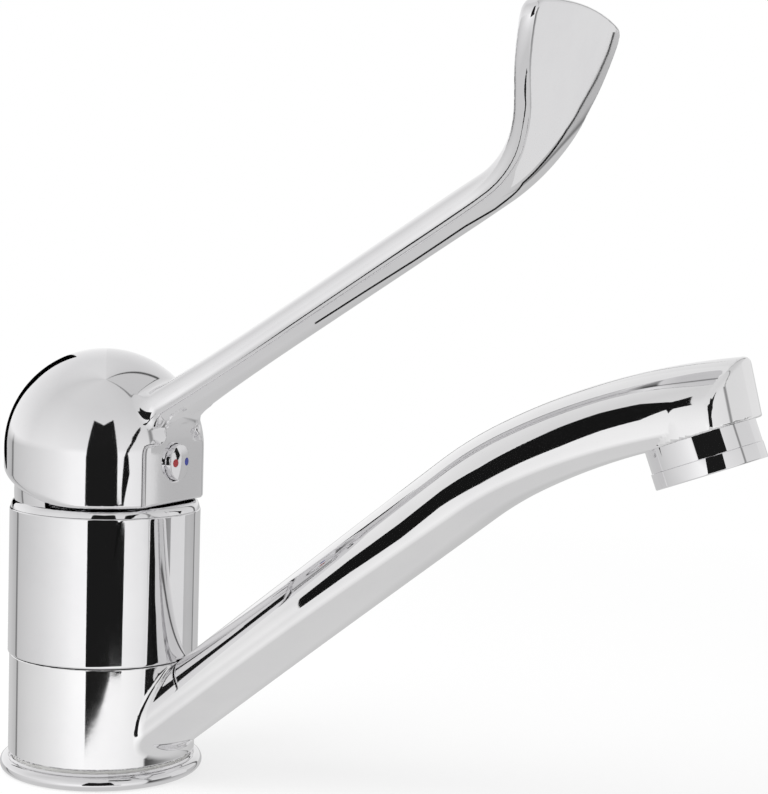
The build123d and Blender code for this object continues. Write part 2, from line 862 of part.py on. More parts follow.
def nose_cylinder(high):
    """Upright part of the nose, with flat sides and a flatter front, leaning less than the outlet axis."""
    front = Pos(0, nose_front_radius - nose_radius) * Circle(nose_front_radius)
    ahead = Pos(0, -nose_radius) * Rectangle(2 * nose_radius, 2 * nose_radius)
    plan = Circle(nose_radius) + (front & ahead)
    angle = math.radians(nose_angle)
    rim = outlet_axis(aerator_drop).origin
    up = (-math.sin(angle), 0, math.cos(angle))
    plane = Plane(origin=rim, x_dir=(0, 1, 0), z_dir=up)
    body = extrude(plane.offset(-overrun) * plan, high + overrun)
    return body & outlet_disc(2 * nose_radius, aerator_drop, aerator_drop + 2 * high)


def before_outlet():
    """Half space in front of the outlet axis."""
    size = 8 * nose_radius
    return outlet_axis(0) * Pos(0, -size / 2, 0) * Box(size, size, size)


def make_swivel_spout():
    """Collar, tube and nose in one casting, hollow for the water."""
    r = edge_round
    recess = upper_glide_radius + running_gap
    recess_floor = shoulder_z - 2 * glide_thickness - running_gap
    outline = [
        Polyline(
            (collar_radius - r, collar_top),
            (recess, collar_top),
            (recess, recess_floor),
            (collar_bore, recess_floor),
            (collar_bore, collar_bottom),
            (collar_radius - r, collar_bottom),
        ),
        RadiusArc((collar_radius - r, collar_bottom), (collar_radius, collar_bottom + r), -r),
        Line((collar_radius, collar_bottom + r), (collar_radius, collar_top - r)),
        RadiusArc((collar_radius, collar_top - r), (collar_radius - r, collar_top), -r),
    ]
    tube = spout_loft(0)
    tube -= before_outlet() - nose_cylinder(nose_height + nose_radius)
    tube -= disc(collar_radius, -spout_height, collar_bottom)
    tube -= disc(recess, recess_floor, collar_top)
    spout = turned(outline) + (tube - disc(collar_bore, -spout_height, collar_top))
    spout += nose_cylinder(nose_skirt)
    half = annulus_height / 2
    spout -= ring(collar_bore + annulus_depth, stem_radius / 2, annulus_z - half, annulus_z + half)
    water = spout_loft(spout_wall)
    water -= disc(collar_bore + annulus_depth - seat_gap, -spout_height, column_top)
    spout -= water - before_outlet()
    spout -= outlet_disc(aerator_thread_radius, aerator_drop - overrun, aerator_drop + aerator_thread)
    return spout - outlet_disc(aerator_bore, aerator_drop, nose_height - overrun)


# Aerator
def make_aerator_housing():
    """Brass ring with four wrench flats and the thread that screws into the nose."""
    housing = outlet_disc(aerator_radius, 0, aerator_drop)
    plane = outlet_axis((aerator_drop + aerator_band) / 2)
    height = aerator_drop - aerator_band
    for index in range(aerator_flats):
        turn = aerator_flat_turn + index * 360 / aerator_flats
        cut = Rot(0, 0, turn) * Pos(0, -aerator_flat - overrun / 2, 0)
        housing -= plane * cut * Box(2 * aerator_radius, overrun, height)
    housing += outlet_disc(aerator_thread_radius - running_gap, aerator_drop, aerator_drop + aerator_thread - seat_gap)
    housing -= outlet_disc(aerator_bore, aerator_lip, aerator_drop + aerator_thread + overrun)
    return housing - outlet_disc(aerator_bore - aerator_lip, -overrun, aerator_lip + overrun)


def make_aerator_insert():
    """Plastic flow straightener: a ring with a square grid near the mouth."""
    outer = aerator_bore - running_gap
    bottom = aerator_lip
    insert = outlet_ring(outer, outer - aerator_wall, bottom, bottom + insert_height)
    grid_height = insert_height / 3
    bars = Part()
    pitch = 2 * outer / insert_cells
    for index in range(1, insert_cells):
        offset = -outer + index * pitch
        plane = outlet_axis(bottom + grid_height / 2)
        bars += plane * Pos(offset, 0, 0) * Box(insert_rib, 2 * outer, grid_height)
        bars += plane * Pos(0, offset, 0) * Box(2 * outer, insert_rib, grid_height)
    bars &= outlet_disc(outer - aerator_wall / 2, bottom, bottom + grid_height)
    return insert + bars


def make_aerator_screen():
    """Thin perforated plate on the straightener."""
    bottom = aerator_lip + insert_height
    screen = outlet_disc(aerator_bore - running_gap, bottom, bottom + screen_thickness)
    pitch = (aerator_bore - aerator_wall) / (screen_rings + 1)
    holes = Part()
    for row in range(1, screen_rings + 1):
        for index in range(6 * row):
            angle = index * 360 / (6 * row)
            place = outlet_axis(bottom) * Rot(0, 0, angle) * Pos(row * pitch, 0, 0)
            holes += place * Cylinder(screen_hole, 4 * screen_thickness)
    return screen - holes


def make_aerator_washer():
    """Flat rubber washer between the screen and the nose."""
    bottom = aerator_lip + insert_height + screen_thickness
    outer = aerator_bore - running_gap
    return outlet_ring(outer, outer - 2 * aerator_wall, bottom, aerator_drop + aerator_thread)


save("main_body", make_main_body())
save("base_flange", make_base_flange())
save("base_seal", make_base_seal())
save("retaining_clip", make_retaining_clip())
save("lower_glide_ring", make_lower_glide_ring())
save("upper_glide_ring", make_upper_glide_ring())
save("lower_swivel_seal", make_swivel_seal(lower_seal_z))
save("upper_swivel_seal", make_swivel_seal(upper_seal_z))
save("cartridge_base", make_cartridge_base())
save("cartridge_seals", make_cartridge_seals())
save("fixed_ceramic_disc", make_fixed_ceramic_disc())
save("moving_ceramic_disc", make_moving_ceramic_disc())
save("disc_carrier", make_disc_carrier())
save("cartridge_housing", make_cartridge_housing())
save("cartridge_rotor", make_cartridge_rotor())
save("lever_pivot_pin", make_lever_pivot_pin())
save("cartridge_clamp_nut", make_cartridge_clamp_nut())
save("cover_cap", make_cover_cap())
save("lever_handle", make_lever_handle())
save("lever_spindle", make_lever_spindle())
save("handle_grub_screw", make_handle_grub_screw())
save("index_button", make_index_button())
save("red_dot", make_dot(-1))
save("blue_dot", make_dot(1))
save("swivel_spout", make_swivel_spout())
save("aerator_housing", make_aerator_housing())
save("aerator_insert", make_aerator_insert())
save("aerator_screen", make_aerator_screen())
save("aerator_washer", make_aerator_washer())
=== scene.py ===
import bmesh
import bpy
import json
import math
import numpy as np
from mathutils import Matrix, Vector


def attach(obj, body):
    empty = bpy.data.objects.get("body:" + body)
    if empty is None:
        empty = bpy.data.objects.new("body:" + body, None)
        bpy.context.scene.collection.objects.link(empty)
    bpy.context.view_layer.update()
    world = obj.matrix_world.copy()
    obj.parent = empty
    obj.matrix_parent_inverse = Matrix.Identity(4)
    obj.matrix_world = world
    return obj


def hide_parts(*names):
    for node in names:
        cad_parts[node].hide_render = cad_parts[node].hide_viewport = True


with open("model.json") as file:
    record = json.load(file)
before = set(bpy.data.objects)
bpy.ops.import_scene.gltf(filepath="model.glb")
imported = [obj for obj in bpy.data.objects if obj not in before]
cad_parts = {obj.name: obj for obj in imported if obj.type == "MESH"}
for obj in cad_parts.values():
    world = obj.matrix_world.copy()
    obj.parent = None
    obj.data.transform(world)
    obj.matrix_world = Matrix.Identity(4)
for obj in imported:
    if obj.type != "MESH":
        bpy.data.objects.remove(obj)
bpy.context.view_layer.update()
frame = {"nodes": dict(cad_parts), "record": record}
nodes = frame["nodes"]
mm = 0.001
meshStep = 0.65  # grid of the cast pieces, in mm


# camera, fitted to the photo's straight edges and ellipses (eye in mm)
cameraPlace = {
    "eye": (274.40, -391.88, 136.0),
    "right": (0.895672, 0.443778, 0.028854),
    "up": (-0.058729, 0.053720, 0.996828),
    "focalPixels": 1796.0,
    "picture": (768, 794),
    "sensor": 36.0,
    "clip": (0.01, 50.0),
}


def placeCamera(values):
    data = bpy.data.cameras.new("photoCamera")
    data.sensor_fit = "AUTO"
    data.sensor_width = values["sensor"]
    data.lens = values["sensor"] * values["focalPixels"] / max(values["picture"])
    data.clip_start, data.clip_end = values["clip"]
    camera = bpy.data.objects.new("photoCamera", data)
    bpy.context.scene.collection.objects.link(camera)
    right, up = Vector(values["right"]).normalized(), Vector(values["up"]).normalized()
    back = right.cross(up).normalized()
    turn = Matrix((right, up, back)).transposed().to_4x4()
    camera.matrix_world = Matrix.Translation(Vector(values["eye"]) * mm) @ turn
    bpy.context.scene.camera = camera


placeCamera(cameraPlace)
print("camera placed")


# helpers for shapes given by a field: negative inside the metal, all in mm
def roundedMax(a, b, r):  # both hold; outer edge rounded by r
    return np.minimum(np.maximum(a, b), -r) + np.hypot(np.maximum(a + r, 0), np.maximum(b + r, 0))


def roundedMin(a, b, r):  # joined; inner corner filled by r
    return -roundedMax(-a, -b, r)


def smoothTable(s, table):  # smooth curve through a table of (place, value)
    px = np.array([p[0] for p in table], float)
    py = np.array([p[1] for p in table], float)
    slope = np.gradient(py, px)
    s = np.clip(s, px[0], px[-1])
    i = np.clip(np.searchsorted(px, s) - 1, 0, len(px) - 2)
    h = px[i + 1] - px[i]
    t = (s - px[i]) / h
    return ((2 * t - 3) * t * t + 1) * py[i] + ((t - 2) * t + 1) * t * h * slope[i] \
        + (3 - 2 * t) * t * t * py[i + 1] + (t - 1) * t * t * h * slope[i + 1]


def chainPath(start, angle, runs):  # runs of (length, radius); a radius above 0 turns upwards
    x, z = start
    chain = []
    for length, radius in runs:
        chain.append((x, z, angle, length, radius))
        if radius:
            turn = length / radius
            x += radius * (math.sin(angle + turn) - math.sin(angle))
            z -= radius * (math.cos(angle + turn) - math.cos(angle))
            angle += turn
        else:
            x += length * math.cos(angle)
            z += length * math.sin(angle)
    return chain


def alongPath(x, z, chain):  # distance along the path and height above it
    bestCost = bestS = bestV = None
    offset = 0.0
    for k, (x0, z0, angle, length, radius) in enumerate(chain):
        along = (x - x0) * math.cos(angle) + (z - z0) * math.sin(angle)
        above = (z - z0) * math.cos(angle) - (x - x0) * math.sin(angle)
        if radius:
            far = np.hypot(along, above - radius)
            sign = 1 if radius > 0 else -1
            s = abs(radius) * np.arctan2(along, sign * (radius - above))
            v = sign * (abs(radius) - far)
        else:
            s, v = along, above
        before = 0 * s if k == 0 else np.maximum(-s, 0)
        after = 0 * s if k == len(chain) - 1 else np.maximum(s - length, 0)
        cost = before + after + 1e-4 * np.abs(v)  # the nearer run wins a tie
        if bestCost is None:
            bestCost, bestS, bestV = cost, s + offset, v
        else:
            nearer = cost < bestCost
            bestCost = np.where(nearer, cost, bestCost)
            bestS = np.where(nearer, s + offset, bestS)
            bestV = np.where(nearer, v, bestV)
        offset += length
    return bestS, bestV


net = {
    "probe": 0.02,  # step in mm for the field's slope
    "rounds": 7, "evenRounds": 4, "evenShare": 0.6,
    "reach": 1.5,  # how far a point may leave its cell, in grid steps
    "leastSlope": 0.2,
}


def fieldGradient(field, p):
    e = net["probe"]
    steps = []
    for k in range(3):
        d = np.zeros(3)
        d[k] = e
        a, b = p + d, p - d
        steps.append((field(a[:, 0], a[:, 1], a[:, 2]) - field(b[:, 0], b[:, 1], b[:, 2])) / (2 * e))
    return np.stack(steps, 1)


def fieldMesh(name, field, low, high, step):  # net of quads drawn onto the field's zero surface
    axes = [np.arange(low[k] - 2 * step, high[k] + 2 * step, step) for k in range(3)]
    grid = np.empty([len(a) for a in axes], np.float32)
    for i, x in enumerate(axes[0]):
        grid[i] = field(np.full((1, 1), x), axes[1][:, None], axes[2][None, :])
    inside = grid < 0
    corners = [(i, j, k) for i in (0, 1) for j in (0, 1) for k in (0, 1)]
    shape = [n - 1 for n in grid.shape]

    def cornerOf(values, c):
        return values[c[0]:c[0] + shape[0], c[1]:c[1] + shape[1], c[2]:c[2] + shape[2]]

    some = np.zeros(shape, bool)
    every = np.ones(shape, bool)
    for c in corners:
        some |= cornerOf(inside, c)
        every &= cornerOf(inside, c)
    cell = np.argwhere(some & ~every)
    number = np.full(shape, -1, np.int64)
    number[tuple(cell.T)] = np.arange(len(cell))
    value = {c: grid[cell[:, 0] + c[0], cell[:, 1] + c[1], cell[:, 2] + c[2]] for c in corners}
    total = np.zeros((len(cell), 3))
    count = np.zeros(len(cell))
    for a in corners:
        for axis in range(3):
            if a[axis]:
                continue
            b = tuple(1 if k == axis else a[k] for k in range(3))
            cross = (value[a] < 0) != (value[b] < 0)
            t = np.where(cross, value[a] / np.where(cross, value[a] - value[b], 1), 0)
            p = np.tile(np.array(a, float), (len(cell), 1))
            p[:, axis] = t
            total[cross] += p[cross]
            count[cross] += 1
    p = (cell + total / count[:, None]) * step + np.array([a[0] for a in axes])
    faces = []
    for axis in range(3):
        u, v = (axis + 1) % 3, (axis + 2) % 3
        first = [slice(None)] * 3
        second = [slice(None)] * 3
        first[axis], second[axis] = slice(0, -1), slice(1, None)
        change = inside[tuple(first)] != inside[tuple(second)]
        place = np.argwhere(change)
        place = place[(place[:, u] > 0) & (place[:, v] > 0)
                      & (place[:, u] < shape[u]) & (place[:, v] < shape[v])]
        quad = []
        for du, dv in ((-1, -1), (0, -1), (0, 0), (-1, 0)):
            c = place.copy()
            c[:, u] += du
            c[:, v] += dv
            quad.append(number[tuple(c.T)])
        quad = np.stack(quad, 1)
        outward = inside[tuple(place.T)]
        faces.append(np.where(outward[:, None], quad, quad[:, ::-1]))
    faces = np.concatenate(faces)
    start = p.copy()
    ends = np.concatenate([faces[:, [0, 1]], faces[:, [1, 2]], faces[:, [2, 3]], faces[:, [3, 0]]])
    degree = np.bincount(ends.ravel(), minlength=len(p))[:, None]
    for turn in range(net["rounds"]):
        if turn < net["evenRounds"]:  # even out the net, then lay it back on the surface
            total = np.zeros_like(p)
            for k in range(3):
                total[:, k] = np.bincount(ends[:, 0], p[ends[:, 1], k], len(p)) \
                    + np.bincount(ends[:, 1], p[ends[:, 0], k], len(p))
            p = (1 - net["evenShare"]) * p + net["evenShare"] * total / np.maximum(degree, 1)
        g = fieldGradient(field, p)
        d = field(p[:, 0], p[:, 1], p[:, 2])
        p -= g * (d / np.maximum((g * g).sum(1), net["leastSlope"]))[:, None]
        p = np.clip(p, start - net["reach"] * step, start + net["reach"] * step)
    g = fieldGradient(field, p)
    normal = g / np.maximum(np.linalg.norm(g, axis=1), 1e-6)[:, None]
    mesh = bpy.data.meshes.new(name)
    mesh.from_pydata((p * mm).tolist(), [], faces.tolist())
    mesh.update()
    mesh.polygons.foreach_set("use_smooth", [True] * len(mesh.polygons))
    mesh.normals_split_custom_set_from_vertices(normal.tolist())
    obj = bpy.data.objects.new(name, mesh)
    bpy.context.scene.collection.objects.link(obj)
    print(name, "faces", len(faces))
    return obj


def arcPoints(center, radius, start, end, count):
    return [(center[0] + radius * math.cos(math.radians(start + (end - start) * k / count)),
             center[1] + radius * math.sin(math.radians(start + (end - start) * k / count)))
            for k in range(count + 1)]


def turnedMesh(name, outline, place=None, segments=192, span=360.0, startAngle=0.0, sharp=30.0,
               radiusAt=None):
    # closed outline of (radius, height) in mm turned about a local axis; place sets that axis
    full = span >= 360
    ringCount = segments if full else segments + 1
    points = []
    for i in range(ringCount):
        angle = math.radians(startAngle + span * i / segments)
        for k, (r, z) in enumerate(outline):
            reach = radiusAt(k, r, angle) if radiusAt else r
            points.append((reach * math.cos(angle) * mm, reach * math.sin(angle) * mm, z * mm))
    n = len(outline)
    faces = []
    for i in range(segments):
        j = (i + 1) % ringCount
        for k in range(n):
            m = (k + 1) % n
            faces.append((i * n + k, j * n + k, j * n + m, i * n + m))
    if not full:
        faces.append(tuple(range(n)))
        faces.append(tuple(segments * n + k for k in reversed(range(n))))
    mesh = bpy.data.meshes.new(name)
    mesh.from_pydata(points, [], faces)
    if place is not None:
        mesh.transform(place)
    mesh.update()
    obj = bpy.data.objects.new(name, mesh)
    bpy.context.scene.collection.objects.link(obj)
    fixFaces(obj, sharp)
    return obj


def fixFaces(obj, sharp):  # outward faces, smooth shading with real edges kept
    b = bmesh.new()
    b.from_mesh(obj.data)
    bmesh.ops.remove_doubles(b, verts=b.verts, dist=1e-7)
    bmesh.ops.recalc_face_normals(b, faces=b.faces)
    for e in b.edges:
        e.smooth = len(e.link_faces) != 2 or e.calc_face_angle(0) < math.radians(sharp)
    for f in b.faces:
        f.smooth = True
    b.to_mesh(obj.data)
    b.free()


# lever handle: hub, front flat, arm, elbow and paddle in one casting
handle = {
    "hubRadius": 26.1, "hubBack": 0.65, "domeZ": 85.45, "rimZ": 72.3, "rimRound": 0.9,
    "reliefAngle": 14.5, "reliefRound": 3.0,
    "hollowRadius": 24.25, "bossRadius": 9.5, "bossZ": 81.0,
    "flatX": 21.6, "flatWall": 2.2, "bendZ": 85.7, "bendRadius": 14.0,
    "shoulderZ": 88.0, "neck": 7.2, "neckRound": 3.0, "flatEdge": 0.8,
    "armSlope": 32.5, "armStartX": 13.0, "armStartZ": 93.18,
    "armLength": 114.0, "elbowRadius": 30.0, "elbowTurn": 44.0, "paddleLength": 32.0,
    # half width and half thickness at places along the arm
    "width": ((0, 12.9), (11, 12.2), (21, 10.6), (36.8, 9.15), (60, 8.75), (84.2, 8.7), (104, 8.75),
              (114, 9.2), (125.6, 12.6), (137.1, 19.4), (144.4, 24.2), (151.7, 27.2), (166.2, 29.4)),
    "depth": ((0, 4.9), (11, 4.83), (21, 4.68), (36.8, 4.54), (60, 4.5), (84.2, 4.5), (114, 4.3),
              (125.6, 3.6), (137.1, 3.1), (144, 2.9), (166, 2.9)),
    "endShare": 0.72, "rootFillet": 2.6, "startRound": 0.5, "airRound": 0.3, "hollowRound": 0.5,
    "top": 196.0, "topArch": 185.0, "corner": 4.5, "topEdge": 1.2,
    "buttonZ": 83.1, "buttonHole": 4.75, "holeDepth": 1.2,
    "boxLow": (-27, -30, 71.5), "boxHigh": (134, 30, 197),
}


def handleField(x, y, z):
    h = handle
    rx = x + h["hubBack"]
    side = np.sqrt(rx * rx + y * y + np.maximum(z - h["domeZ"], 0) ** 2) - h["hubRadius"]
    relief = math.radians(h["reliefAngle"])
    under = (h["rimZ"] - z) * math.cos(relief) - x * math.sin(relief)
    hub = roundedMax(side, under, h["reliefRound"])
    hub = roundedMax(hub, h["rimZ"] - z, h["rimRound"])
    # arm and paddle: two shallow crowns joined by round ends
    s, v = alongPath(x, z, handlePath)
    w = smoothTable(s, h["width"])
    t = smoothTable(s, h["depth"])
    e = t * h["endShare"]
    reach = w - e
    crown = (reach ** 2 + t ** 2 - e ** 2) / (2 * t - 2 * e)
    drop = crown - t
    au, av = np.abs(y), np.abs(v)
    onEnd = au * drop - reach * (av + drop) > 0
    arm = np.where(onEnd, np.hypot(au - reach, av) - e, np.hypot(au, av + drop) - crown)
    arm = roundedMax(arm, h["armStartX"] - x + 0 * y, h["startRound"])
    arch = np.hypot(y, z - h["top"] + h["topArch"]) - h["topArch"]
    plan = roundedMax(arch, au - w, h["corner"])
    arm = roundedMax(arm, plan, h["topEdge"])
    # air before the hub's front flat, which bends out under the arm
    slope = math.radians(h["armSlope"])
    cx, cz, r = h["flatX"] + h["bendRadius"], h["bendZ"], h["bendRadius"]
    bend = np.hypot(x - cx, z - cz) - r
    ex, ez = cx - r * math.sin(slope), cz + r * math.cos(slope)
    line = (z - ez) * math.cos(slope) - (x - ex) * math.sin(slope)
    past = (x - cx) * math.cos(slope) + (z - cz) * math.sin(slope) > 0
    air = np.where(z <= cz, h["flatX"] - x, np.where(past, line, bend)) + 0 * y
    web = np.maximum(au - h["neck"] + 0 * z, -air)
    web = np.maximum(web, np.maximum(h["flatX"] - h["flatWall"] - x, v))
    web = np.maximum(web, np.maximum(h["bendZ"] - z, x - ex))
    metal = roundedMin(hub, arm, h["rootFillet"])
    metal = np.minimum(metal, web)
    bottle = roundedMin(z - h["shoulderZ"] + 0 * y, au - h["neck"] + 0 * z, h["neckRound"])
    metal = roundedMax(metal, -roundedMax(air, bottle, h["airRound"]), h["flatEdge"])
    # hollow over the cartridge with the spindle's boss, and the button's hole
    hollow = np.sqrt(x * x + y * y + np.maximum(z - h["domeZ"], 0) ** 2) - h["hollowRadius"]
    hollow = roundedMax(hollow, x - h["flatX"] + h["flatWall"] + 0 * y, h["hollowRound"])
    boss = np.maximum(np.hypot(x, y) - h["bossRadius"], h["bossZ"] - z)
    hollow = np.maximum(hollow, -boss)
    metal = np.maximum(metal, -hollow)
    hole = np.maximum(np.hypot(y, z - h["buttonZ"]) - h["buttonHole"], h["flatX"] - h["holeDepth"] - x)
    return np.maximum(metal, -hole)


elbowLength = handle["elbowRadius"] * math.radians(handle["elbowTurn"])
handlePath = chainPath((handle["armStartX"], handle["armStartZ"]), math.radians(handle["armSlope"]), [
    (handle["armLength"], 0), (elbowLength, handle["elbowRadius"]), (handle["paddleLength"], 0)])
leverCasting = fieldMesh("leverCasting", handleField, handle["boxLow"], handle["boxHigh"], meshStep)
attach(leverCasting, "lever")
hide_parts("lever_handle")
print("lever built")


# swivel spout: collar, rising tube and nose in one casting
spout = {
    "collarRadius": 24.6, "collarBottom": 4.9, "collarTop": 31.3, "collarEdge": 0.5, "bore": 18.95,
    "startX": 14.0, "startZ": 11.085, "slope": 38.5, "straight": 114.5,
    "bends": ((16.55, -92.0), (67.6, -160.4)), "tail": 12.0,
    "width": ((0, 13.8), (60, 13.8), (114.5, 13.85), (150, 14.0), (199, 14.2)),
    "height": ((0, 18.4), (60, 18.4), (114.5, 18.4), (150, 18.05), (199, 17.6)),
    "square": ((0, 2.0), (57, 2.05), (114.5, 3.2), (150, 4.4), (199, 5.3)),
    "crownShare": 0.58, "crease": 1.1,
    "mouth": (163.8, 91.1), "tilt": 21.0, "drop": 9.0, "noseRadius": 14.25, "noseTilt": 14.2,
    "frontRadius": 17.5, "frontEdge": 0.5, "noseEdge": 0.9, "rimEdge": 0.35, "skirt": 13.0, "skirtEdge": 0.3,
    "fillet": 1.6, "bottomEdge": 0.3, "bodyRadius": 25.35, "least": 1e-3, "leastSlope": 0.02,
    "boxLow": (-25, -25.2, 4.5), "boxHigh": (181, 25.2, 122),
}


def spoutField(x, y, z):
    h = spout
    s, v = alongPath(x, z, spoutPath)
    w = smoothTable(s, h["width"])
    t = smoothTable(s, h["height"])
    n = smoothTable(s, h["square"])
    # tube: a crown above the crease, a rounded box below it
    rise = t * h["crownShare"]
    crease = t / 2 - rise
    radius = (w * w + rise * rise) / (2 * rise)
    au = np.abs(y)
    crown = np.hypot(au, v - t / 2 + radius) - radius
    depth = t / 2 + crease
    a = np.maximum(au / w, h["least"])
    b = np.maximum((crease - v) / depth, h["least"])
    f = (a ** n + b ** n) ** (1 / n)
    slope = f ** (1 - n) * np.hypot(a ** (n - 1) / w, b ** (n - 1) / depth)
    lower = np.where(v < crease, (f - 1) / np.maximum(slope, h["leastSlope"]), au - w)
    tube = roundedMax(crown, lower, h["crease"])
    tube = np.maximum(tube, h["startX"] - x)
    # nose: walls round the mouth, cut level with its rim
    tilt = math.radians(h["tilt"])
    lean = math.radians(h["noseTilt"])
    mx, mz = h["mouth"]
    rimX, rimZ = mx - h["drop"] * math.sin(tilt), mz + h["drop"] * math.cos(tilt)
    aboveRim = (z - rimZ) * math.cos(tilt) - (x - rimX) * math.sin(tilt)
    ahead = (x - mx) * math.cos(tilt) + (z - mz) * math.sin(tilt)
    front = (x - rimX) * math.cos(lean) + (z - rimZ) * math.sin(lean)
    arc = np.hypot(front + h["frontRadius"] - h["noseRadius"], y) - h["frontRadius"]
    flat = roundedMax(arc, np.abs(y) - h["noseRadius"] + 0 * z, h["frontEdge"])
    wall = np.where(front > 0, flat, np.hypot(front, y) - h["noseRadius"])
    allowed = roundedMax(wall, -aboveRim + 0 * y, h["rimEdge"])
    tube = roundedMax(tube, np.minimum(allowed, ahead + 0 * y), h["noseEdge"])
    skirt = roundedMax(allowed, aboveRim - h["skirt"] + 0 * y, h["skirtEdge"])
    skirt = roundedMax(skirt, crown, h["crease"])
    tube = np.minimum(tube, skirt)
    # collar with the bore for the column's stem
    r = np.hypot(x, y)
    ends = np.maximum(z - h["collarTop"], h["collarBottom"] - z) + 0 * r
    collar = roundedMax(r - h["collarRadius"] + 0 * z, ends, h["collarEdge"])
    casting = roundedMin(tube, collar, h["fillet"])
    casting = roundedMax(casting, h["collarBottom"] - z + 0 * r, h["bottomEdge"])
    casting = np.maximum(casting, np.minimum(z - h["collarTop"], h["bodyRadius"] - r + 0 * z))
    return np.maximum(casting, h["bore"] - r)


spoutPath = chainPath((spout["startX"], spout["startZ"]), math.radians(spout["slope"]),
                      [(spout["straight"], 0)] + list(spout["bends"]) + [(spout["tail"], 0)])
spoutCasting = fieldMesh("spoutCasting", spoutField, spout["boxLow"], spout["boxHigh"], meshStep)
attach(spoutCasting, "spout")
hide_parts("swivel_spout")
print("spout built")


# column skin, cap and foot ring
column = {
    "radius": 25.02, "bottom": 31.4, "top": 69.8, "edge": 0.4, "inner": 22.2,
    "capTop": 71.9, "capBottom": 69.81, "capBore": 11.8, "capPlate": 1.5, "capShoulder": 23.3,
    "nutRadius": 22.1,
    "capSteps": ((24.8, 69.82), (24.62, 70.6), (24.3, 71.4), (23.6, 71.86)),
    "apronRadius": 23.9, "apronWall": 1.6, "apronRise": 4.0, "apronStart": 95.0, "apronSink": 0.4,
    "apronStop": 0.6, "apronLand": 0.8, "apronDrop": 0.6, "pivotZ": 74.0,
    "footRadius": 26.7, "footHeight": 4.2, "footLip": 0.5, "footBore": 16.0, "footRecess": 18.5,
    "footSteps": (24.7, 24.6, 24.55, 24.45), "footStep": 0.1,
    "clipTop": 2.6, "sealOuter": 24.5, "sealInner": 21.9, "sealHeight": 1.6,
}


def columnSkin(v):
    e, r = v["edge"], v["radius"]
    outline = [(v["inner"], v["bottom"])]
    outline += arcPoints((r - e, v["bottom"] + e), e, -90, 0, 8)
    outline += [(r, v["bottom"] + 2 * e), (r, v["top"] - 2 * e)]
    outline += arcPoints((r - e, v["top"] - e), e, 0, 90, 8)
    outline += [(v["inner"], v["top"])]
    return turnedMesh("columnSkin", outline, sharp=50)


def coverCap(v):
    under = v["capTop"] - v["capPlate"]
    outline = [(v["nutRadius"], under), (v["nutRadius"], v["capBottom"])]
    outline += list(v["capSteps"])
    outline += [(v["capShoulder"], v["capTop"]), (v["capBore"], v["capTop"]), (v["capBore"], under)]
    ring = turnedMesh("coverCap", outline, sharp=35)
    low = math.degrees(math.asin((v["capTop"] - v["apronSink"] - v["pivotZ"]) / v["apronRadius"]))
    high = math.degrees(math.asin(v["apronRise"] / v["apronRadius"]))
    shell = arcPoints((0, v["pivotZ"]), v["apronRadius"], low, high - v["apronStop"], 24)
    inner = v["apronRadius"] - v["apronWall"]
    shell += [(inner + v["apronLand"], v["pivotZ"] + v["apronRise"])]
    shell += [(inner, v["pivotZ"] + v["apronRise"] - v["apronDrop"]), (inner, v["capTop"] - v["apronSink"])]
    apron = turnedMesh("capApron", shell, segments=120, span=360 - 2 * v["apronStart"],
                       startAngle=v["apronStart"], sharp=40)
    return ring, apron


def footRing(v):
    half = (v["footHeight"] - v["footLip"]) / 2
    lip = v["footRadius"] - half
    outline = [(v["footBore"], v["clipTop"]), (v["footRecess"], v["clipTop"]), (v["footRecess"], 0.0),
               (v["sealInner"], 0.0), (v["sealInner"], v["sealHeight"]), (v["sealOuter"], v["sealHeight"]),
               (v["sealOuter"], 0.0)]
    outline += arcPoints((lip, half), half, -90, 90, 28)
    heights = (2 * half, 2 * half + v["footStep"], v["footHeight"] - v["footStep"], v["footHeight"])
    outline += list(zip(v["footSteps"], heights)) + [(v["footBore"], v["footHeight"])]
    return turnedMesh("footRing", outline, sharp=40)


skin = columnSkin(column)
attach(skin, "column")
capRing, capApron = coverCap(column)
for piece in (capRing, capApron):
    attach(piece, "column")
    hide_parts("cover_cap")
foot = footRing(column)
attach(foot, "column")
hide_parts("base_flange")
print("column built")


# index button with its two dots, and the aerator
button = {
    "x": 21.6, "z": 83.1, "radius": 4.7, "height": 1.9, "dome": 0.5, "edge": 0.35,
    "root": -1.0, "center": 0.001,
    "bevel": ((0.15, -0.02), (0.5, 0.06)), "crownInset": 1.2, "crownRows": 14,
    "dot": 1.05, "spread": 2.6, "dotTop": 0.062,
    "dotRows": ((1, -0.3), (1, 0.01), (0.94, 0.035), (0.8, 0.05), (0.4, 0.06)),  # share of the radius, height
}


